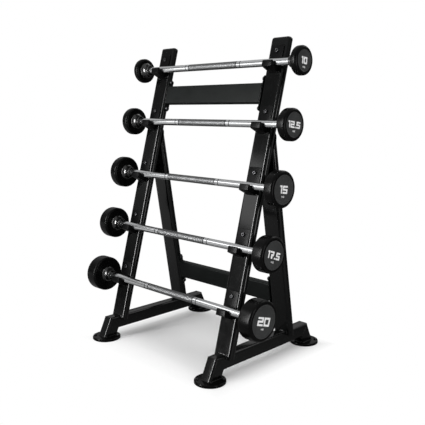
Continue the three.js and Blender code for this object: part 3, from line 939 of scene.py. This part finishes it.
class RACK_OT_beams(bpy.types.Operator):
    """Make the two cross beams with their welded flanges and their bolts"""

    bl_idname = "rack.beams"
    bl_label = "Cross Beams"

    def execute(self, context):
        s = sizes()
        end = side_x() - s.tube_width / 2 - GAP
        joint = end - s.flange_thickness
        section = (s.beam_depth, s.beam_height, s.beam_corner)
        flange_height = 2 * (s.beam_bolt_offset + s.beam_bolt_margin)
        beams = {
            "upper": (upright_frame(), bar_rise(0) - s.upper_beam_drop),
            "lower": (leg_frame(), s.lower_beam_rise),
        }
        for name, (base, rise) in beams.items():
            place = base @ Matrix.Translation((0, 0, rise)) @ across_rack()
            beam = tube_skin(*section, -end, end)
            give_wall(beam, s.tube_wall)
            for side in SIDES.values():
                flange = rounded_prism(
                    s.flange_width, flange_height, s.flange_corner,
                    *sorted((side * end, side * joint)))
                softened(flange, s.flange_edge)
                join_in(beam, flange)
            beam.transform(place)
            put_piece(f"{name}_beam_tube", beam, beam_coat(), "rack",
                      nodes=[f"{name}_beam"])
            weld_bead(f"{name}_beam_weld", self.seams(section, joint, place), s.weld_radius)
            for side_name, side in SIDES.items():
                for row_name, row in ROWS.items():
                    node = f"{name}_beam_bolt_{side_name}_{row_name}"
                    head = (side * (joint - GAP), 0, rise + row * s.beam_bolt_offset)
                    turned = placed(head, -side * QUARTER_TURN, "Y")
                    put_bolt(f"{node}_head", BEAM_BOLT, base @ turned, nodes=[node])
        return {"FINISHED"}

    def seams(self, section, joint, place):
        """The runs along which the flanges are welded to the beam."""
        skin = tube_skin(*section, 0, SPARE)
        rings = edge_runs(skin, lambda e: heights(e)[1] < TINY)
        skin.free()
        return [
            ([place @ (point + Vector((0, 0, side * joint))) for point in ring], closed)
            for ring, closed in rings for side in SIDES.values()
        ]


def hook_outline():
    """A saddle's hook about its bar's centre, with Y to the back."""
    s, cradle, lip = sizes(), cradle_radius(), sizes().saddle_lip
    exit_turn, toe_round, web_round = 40, 0.004, 0.003
    exit_angle, rise = math.radians(exit_turn), s.cradle_play - GAP
    back = cradle + s.saddle_web + s.saddle_plate - GAP
    lip_y = s.saddle_lip_rise - lip
    lip_x = -(cradle + lip + (lip_y - rise) * math.sin(exit_angle)) / math.cos(exit_angle)
    front = lip_x - lip
    toe, heel = -cradle - s.saddle_toe, -cradle - s.saddle_heel
    under = math.degrees(math.atan2(heel - toe, back - front))
    return [
        *arc(0, rise, cradle, 0, exit_turn - 180, steps=24),
        *arc(lip_x, lip_y, lip, exit_turn, 180, steps=12),
        *arc(front + toe_round, toe + toe_round, toe_round, 180, 270 + under),
        (back, heel),
        (back, s.saddle_web_rise),
        *arc(cradle + web_round, s.saddle_web_rise - web_round, web_round, 90, 180, steps=5),
    ]


class RACK_OT_saddles(bpy.types.Operator):
    """Make the ten saddles and their bolts"""

    bl_idname = "rack.saddles"
    bl_label = "Saddles"

    def execute(self, context):
        for level, (name, *_) in enumerate(BARBELLS):
            for side_name, side in SIDES.items():
                self.add_saddle(f"{name}_{side_name}", side * side_x(), bar_rise(level))
        return {"FINISHED"}

    def add_saddle(self, name, x, rise):
        """Makes one saddle and its bolt, so far along and up the upright."""
        s = sizes()
        hook = bmesh.new()
        hook.faces.new([hook.verts.new((y, z, -s.saddle_width / 2)) for y, z in hook_outline()])
        bmesh.ops.remove_doubles(hook, verts=hook.verts, dist=TINY)
        far = bmesh.ops.extrude_face_region(hook, geom=hook.faces[:])
        bmesh.ops.translate(hook, vec=(0, 0, s.saddle_width), verts=vertices_of(far))
        bmesh.ops.recalc_face_normals(hook, faces=hook.faces)
        softened(hook, s.saddle_edge)
        bottom = -cradle_radius() - s.saddle_heel
        top = s.saddle_bolt_rise + s.saddle_bolt_margin
        front = cradle_radius() + s.saddle_web
        plate = rounded_prism(
            s.saddle_plate_width, top - bottom, s.saddle_plate_corner,
            front, front + s.saddle_plate - GAP)
        softened(plate, s.saddle_plate_edge)
        plate.transform(placed((0, (top + bottom) / 2, 0), QUARTER_TURN, "Y"))
        join_in(hook, plate)
        seat = upright_frame() @ Matrix.Translation((x, -bar_to_axis(), rise))
        hook.transform(seat @ across_rack())
        put_piece(f"saddle_moulding_{name}", hook, saddle_plastic(), "rack",
                  nodes=[f"saddle_{name}"])
        head = (x, -s.tube_depth / 2 - s.saddle_plate - GAP, rise + s.saddle_bolt_rise)
        put_bolt(f"saddle_bolt_{name}_head", SADDLE_BOLT,
                 upright_frame() @ placed(head, QUARTER_TURN, "X"), nodes=[f"saddle_bolt_{name}"])


def map_round_and_along(bm, radius):
    """Gives a bar about Z its own map, in metres round it and along it."""
    layer = bm.loops.layers.uv.new("round_and_along")
    for face in bm.faces:
        middle = face.calc_center_median()
        facing = math.atan2(middle.y, middle.x)
        for loop in face.loops:
            here = math.atan2(loop.vert.co.y, loop.vert.co.x)
            here += 2 * math.pi * round((facing - here) / (2 * math.pi))
            loop[layer].uv = (here * radius, loop.vert.co.z)


class RACK_OT_bars(bpy.types.Operator):
    """Make the five chrome bars with their knurled grips"""

    bl_idname = "rack.bars"
    bl_label = "Bars"

    def execute(self, context):
        b = barbell_sizes()
        radius, end = b.bar_diameter / 2, neck_start() + b.neck_length + b.bar_insert
        deep, slope = radius - b.groove_depth, b.groove_width * 0.3
        half = []
        for ring in (0, 1):
            start = b.grip_length / 2 + ring * (b.groove_width + b.band_width)
            stop = start + b.groove_width
            half += [(radius, start), (deep, start + slope), (deep, stop - slope), (radius, stop)]
        half += [(radius, end - b.bar_chamfer), (radius - b.bar_chamfer, end), (0, end)]
        profile = [(r, -h) for r, h in reversed(half)] + half
        for level, (name, *_) in enumerate(BARBELLS):
            bm = lathed(profile)
            map_round_and_along(bm, radius)
            for face in bm.faces:
                middle = face.calc_center_median()
                sunk = math.hypot(*middle.xy) < radius - b.groove_depth / 4
                if abs(middle.z) < b.grip_length / 2:
                    face.material_index = 1
                # Faces sunk in a ring groove take its painted shade.
                elif sunk and abs(middle.z) < end - b.bar_insert:
                    face.material_index = 2
            bm.transform(placed(bar_centre(level), QUARTER_TURN, "Y"))
            put_piece(f"bar_plated_{name}", bm, [chrome(), knurling(), groove_shade()],
                      f"barbell_{name}", nodes=[f"bar_{name}"])
        return {"FINISHED"}


def sign_shape(rows, width, height, stroke):
    """One sign made of filled cells, with its lower left corner at the origin."""
    columns, lines = len(rows[0]), len(rows)
    bm = bmesh.new()
    bmesh.ops.create_grid(bm, x_segments=columns, y_segments=lines, size=0.5)
    across = {
        1: [0, stroke], 2: [0, width - stroke, width], 3: [0, stroke, width - stroke, width],
    }[columns]
    between = (height - 3 * stroke) / 2
    up = [0, stroke, stroke + between, 2 * stroke + between, 2 * stroke + 2 * between, height]
    empty = []
    for face in bm.faces:
        x, y, _ = face.calc_center_median()
        if rows[lines - 1 - int((y + 0.5) * lines)][int((x + 0.5) * columns)] == ".":
            empty.append(face)
    for v in bm.verts:
        column, line = round((v.co.x + 0.5) * columns), round((v.co.y + 0.5) * lines)
        v.co = (across[column], up[line], 0)
    bmesh.ops.delete(bm, geom=empty, context="FACES")
    return bm


def label_shape(text, width, height, relief):
    """A short label, centred on the origin, facing Z and standing proud by the relief."""
    stroke_share, gap_share, one_share, round_share = 0.23, 0.5, 0.5, 0.3
    stroke = height * stroke_share
    gap = stroke * gap_share
    points, ones = text.count("."), text.count("1")
    cells = len(text) - points - ones + one_share * ones
    cell = (width - gap * (len(text) - 1) - stroke * points) / cells
    reaches = {".": stroke, "1": cell * one_share}
    label, x = bmesh.new(), -width / 2
    for c in text:
        reach = reaches.get(c, cell)
        sign = sign_shape(SIGNS[c], reach, height, stroke)
        bmesh.ops.translate(sign, vec=(x, -height / 2, 0), verts=sign.verts)
        join_in(label, sign)
        x += reach + gap
    bmesh.ops.dissolve_limit(label, angle_limit=0.01, verts=label.verts, edges=label.edges)
    raised = bmesh.ops.extrude_face_region(label, geom=label.faces[:])
    bmesh.ops.translate(label, vec=(0, 0, relief), verts=vertices_of(raised))
    bmesh.ops.recalc_face_normals(label, faces=label.faces)
    label.normal_update()
    corners = [
        e for e in label.edges
        if heights(e)[1] - heights(e)[0] > relief / 2 and e.calc_face_angle(0) > SHARP_ANGLE
    ]
    bmesh.ops.bevel(
        label, geom=corners, offset=stroke * round_share, segments=3, profile=0.5,
        affect="EDGES", material=-1, clamp_overlap=False,
    )
    return label


def head_outline(radius, rim, inner, outer):
    """Half of a head's section with its neck: radius and distance from the barbell's middle."""
    b, start = barbell_sizes(), neck_start()
    bore, neck = b.bar_diameter / 2 + GAP, b.bar_diameter / 2 + b.neck_wall
    bore_end, edge, face = inner + b.bar_insert + GAP, b.head_edge, outer - b.recess_depth
    taper, tip_round, slope, groove = 0.001, 0.003, 0.0025, 0.0004
    return [
        (0, bore_end), (bore, bore_end), (bore, start),
        *arc(neck - taper - tip_round, start + tip_round, tip_round, -90, 0),
        *((neck + out, start + along) for out, along in NECK_CURVE),
        (neck + b.neck_flare, inner),
        *arc(radius - edge, inner + edge, edge, -90, 0, steps=10),
        *arc(radius - edge, outer - edge, edge, 0, 90, steps=10),
        (rim + groove * 1.5, outer), (rim, outer - groove),
        (rim - slope, face), (rim - slope * 2, face - groove), (rim - slope * 2.6, face),
        (0, face),
    ]


class RACK_OT_heads(bpy.types.Operator):
    """Make the ten round heads with their necks and numbers"""

    bl_idname = "rack.heads"
    bl_label = "Heads"

    def execute(self, context):
        b = barbell_sizes()
        inner = neck_start() + b.neck_length
        margin, sunk = b.recess_depth / 2, b.number_height / 10
        for level, (name, diameter, thickness, text, width, height, tilt) in enumerate(BARBELLS):
            rim = diameter / 2 - b.head_edge - b.rim_width
            face = inner + thickness - b.recess_depth
            for side_name, side in SIDES.items():
                bm = lathed(head_outline(diameter / 2, rim, inner, inner + thickness), steps=96)
                # The neck takes the glossy coat, the sides and inner face the urethane's dark copy,
                # which is painted shade, and the outer face the urethane.
                for each in bm.faces:
                    middle = each.calc_center_median()
                    if middle.z < inner - margin:
                        each.material_index = 1
                    elif middle.z < face - margin or math.hypot(*middle.xy) > rim:
                        each.material_index = 2
                bm.transform(placed(bar_centre(level), side * QUARTER_TURN, "Y"))
                put_piece(f"head_cast_{name}_{side_name}", bm,
                          [urethane(), neck_coat(), painted_shade_side_coat()], f"barbell_{name}",
                          nodes=[f"head_{name}_{side_name}"])
                label = label_shape(text, width, height, b.number_height)
                unit = label_shape("KG", b.unit_width, b.unit_height, b.number_height)
                bmesh.ops.translate(unit, vec=(0, -height / 2 - b.unit_drop, 0), verts=unit.verts)
                join_in(label, unit)
                spot = bar_centre(level) + Vector((side * (face - sunk), 0, 0))
                tilted = across_rack(side) @ Matrix.Rotation(math.radians(tilt), 4, "Z")
                label.transform(Matrix.Translation(spot) @ tilted)
                put_piece(f"number_{name}_{side_name}", label, number_white(), f"barbell_{name}")
        return {"FINISHED"}


# Stage

WHITE = (1, 1, 1, 1)


def add_lamp(name, place, aim, width, height, watts, mirrored=True, lit=True):
    """A soft box that faces a point; it may be kept out of reflections, or only seen in them."""
    lamp = bpy.data.lights.new(name, "AREA")
    lamp.shape = "RECTANGLE"
    lamp.size, lamp.size_y, lamp.energy = width, height, watts
    holder = bpy.data.objects.new(name, lamp)
    holder.location = place
    holder.rotation_euler = (Vector(aim) - Vector(place)).to_track_quat("-Z", "Y").to_euler()
    holder.visible_glossy, holder.visible_diffuse, holder.visible_camera = mirrored, lit, False
    bpy.context.scene.collection.objects.link(holder)


def blended(tree, amount, first, second):
    """Blends two shaders, with so much of the second."""
    inputs = {"Fac": amount, 1: first, 2: second}
    return add_node(tree, "ShaderNodeMixShader", inputs).outputs["Shader"]


def seen_white(tree, shade, white, mirrored):
    """Gives camera rays the white shade, and glossy and see-through rays the mirrored one."""
    path = add_node(tree, "ShaderNodeLightPath", {}).outputs
    bounced = maths(tree, "MAXIMUM", path["Is Glossy Ray"], path["Is Transmission Ray"])
    return blended(tree, path["Is Camera Ray"], blended(tree, bounced, shade, mirrored), white)


def background(tree, shade, strength=1.0):
    inputs = {"Color": shade, "Strength": strength}
    return add_node(tree, "ShaderNodeBackground", inputs).outputs["Background"]


def emission(tree, shade=WHITE, strength=1.0):
    inputs = {"Color": shade, "Strength": strength}
    return add_node(tree, "ShaderNodeEmission", inputs).outputs["Emission"]


def room_colour(tree):
    """What gloss and metal mirror: a room with a lit band in front and a dark one behind."""
    parts = parts_of(tree, coordinates(tree, "Generated"))
    front = ramp(tree, parts["Z"], (0.0, 0.06), (0.09, 0.07), (0.18, 0.3), (0.26, 0.3),
                 (0.34, 0.2), (0.48, 0.15), (0.6, 0.5))
    back = ramp(tree, parts["Z"], (0.0, 0.5), (0.1, 0.1), (0.24, 0.1), (0.36, 0.5))
    turned = mapped(tree, parts["Y"], -0.2, 0.2)
    mix = add_node(
        tree, "ShaderNodeMix", {"Factor": turned, "A": front, "B": back}, data_type="RGBA")
    return mix.outputs["Result"]


def floor_paint():
    """Pale paint that keeps the rack's shadow and fades into the white backdrop."""
    material = bpy.data.materials.new("floor_white_paint")
    tree = empty_tree(material)
    place = coordinates(tree, "Object")
    outwards = vector_maths(tree, "ABSOLUTE", place).outputs["Vector"]
    shadow_half = (0.37, 0.31, 0)
    beyond = parts_of(
        tree, vector_maths(tree, "SUBTRACT", outwards, shadow_half).outputs["Vector"])
    reach = maths(tree, "MAXIMUM", beyond["X"], beyond["Y"])
    paint = add_node(tree, "ShaderNodeBsdfDiffuse", {"Color": (0.82, 0.82, 0.82, 1)})
    fade = mapped(tree, reach, -0.06, 0.08, 0.05, 1.0)
    seen = blended(tree, fade, paint.outputs["BSDF"], emission(tree))
    # In reflections the floor glows: darker near the rack as a painted shadow, and dimmer towards
    # the back.
    far_off = maths(tree, "DIVIDE", reach, 5.0)
    shade = ramp(tree, far_off, (0.0, 0.25), (0.08, 0.35), (0.2, 0.45), (0.5, 0.7))
    dimmed = mapped(tree, parts_of(tree, place)["Y"], -0.3, 0.8, 1.0, 0.15)
    mirrored = emission(tree, shade, dimmed)
    surface = seen_white(tree, paint.outputs["BSDF"], seen, mirrored)
    add_node(tree, "ShaderNodeOutputMaterial", {"Surface": surface})
    return material


class RACK_OT_stage(bpy.types.Operator):
    """Set up the pale floor, the lamps, the world and the camera"""

    bl_idname = "rack.stage"
    bl_label = "Stage"

    def execute(self, context):
        scene, st = context.scene, studio()
        scene.view_settings.view_transform = "Standard"

        world = bpy.data.worlds.new("studio_world")
        tree = empty_tree(world)
        soft, white = background(tree, WHITE, st.soft_light), background(tree, WHITE)
        surface = seen_white(tree, soft, white, background(tree, room_colour(tree)))
        add_node(tree, "ShaderNodeOutputWorld", {"Surface": surface})
        scene.world = world

        bm = bmesh.new()
        bmesh.ops.create_grid(bm, x_segments=1, y_segments=1, size=20)
        mesh = bpy.data.meshes.new("studio_floor")
        bm.to_mesh(mesh)
        bm.free()
        floor = bpy.data.objects.new("studio_floor", mesh)
        scene.collection.objects.link(floor)
        mesh.materials.append(floor_paint())

        # Name, place, aim, width, height and watts
        add_lamp("overhead_box", (-0.6, -0.9, 3.2), (0, 0, 0.5), 2.2, 2.2, st.overhead,
                 mirrored=False)
        add_lamp("left_strip", (-1.15, -3.27, 1.6), (0, 0, 0.8), 0.22, 3.0, st.left_strip)
        add_lamp("front_box", (-1.05, -1.25, 1.3), (0, -0.1, 0.8), 0.9, 0.5, st.front_box)
        add_lamp("left_glow", (-1.35, -3.33, 1.6), (0, 0, 0.8), 0.5, 3.0, st.left_glow, lit=False)
        add_lamp("front_glow", (-1.31, -3.3, 1.3), (0, 0, 0.7), 0.56, 2.6, st.front_glow, lit=False)
        add_lamp("back_box", (0.7, 2.2, 2.6), (0, 0, 0.5), 1.5, 1.0, st.back_box)
        add_lamp("right_strip", (3.4, -0.4, 1.1), (0, 0, 0.7), 0.8, 2.2, st.right_strip)

        camera = bpy.data.cameras.new("studio_camera")
        camera.sensor_width, camera.lens = st.film_width, st.camera_lens
        holder = bpy.data.objects.new("studio_camera", camera)
        holder.location = st.camera_place
        holder.rotation_euler = (QUARTER_TURN - st.camera_pitch, 0, st.camera_turn)
        scene.collection.objects.link(holder)
        scene.camera = holder
        return {"FINISHED"}


class RACK_PT_panel(bpy.types.Panel):
    """The rack's operators and sizes"""

    bl_label = "Barbell Rack"
    bl_idname = "RACK_PT_panel"
    bl_space_type = "VIEW_3D"
    bl_region_type = "UI"
    bl_category = "Rack"

    def draw(self, context):
        layout = self.layout
        for operator in OPERATORS:
            layout.operator(operator.bl_idname)
        for title, group in (
            ("Rack", sizes()), ("Barbells", barbell_sizes()),
            ("Finishes", finishes()), ("Studio", studio()),
        ):
            box = layout.box()
            box.label(text=title)
            for name in group.__annotations__:
                box.prop(group, name)


GROUPS = {
    "rack_sizes": RackSizes,
    "rack_barbell_sizes": BarbellSizes,
    "rack_finishes": Finishes,
    "rack_studio": Studio,
}
OPERATORS = (
    RACK_OT_uprights,
    RACK_OT_rear_legs,
    RACK_OT_base_rails,
    RACK_OT_feet,
    RACK_OT_beams,
    RACK_OT_saddles,
    RACK_OT_bars,
    RACK_OT_heads,
    RACK_OT_stage,
)


def register():
    for each in (*GROUPS.values(), *OPERATORS, RACK_PT_panel):
        bpy.utils.register_class(each)
    for name, group in GROUPS.items():
        setattr(bpy.types.Scene, name, PointerProperty(type=group))


def unregister():
    for name in GROUPS:
        delattr(bpy.types.Scene, name)
    for each in (RACK_PT_panel, *OPERATORS, *GROUPS.values()):
        bpy.utils.unregister_class(each)


def clear_startup():
    """Takes away the objects that a new Blender file starts with."""
    ours = {*frame["bodies"].values(), *frame["nodes"].values()}
    for each in [o for o in bpy.data.objects if o not in ours]:
        bpy.data.objects.remove(each)


def main():
    """Makes every piece and the stage."""
    register()
    clear_startup()
    bpy.ops.rack.uprights()
    bpy.ops.rack.rear_legs()
    bpy.ops.rack.base_rails()
    bpy.ops.rack.feet()
    bpy.ops.rack.beams()
    bpy.ops.rack.saddles()
    bpy.ops.rack.bars()
    bpy.ops.rack.heads()
    bpy.ops.rack.stage()


if __name__ == "__main__":
    main()
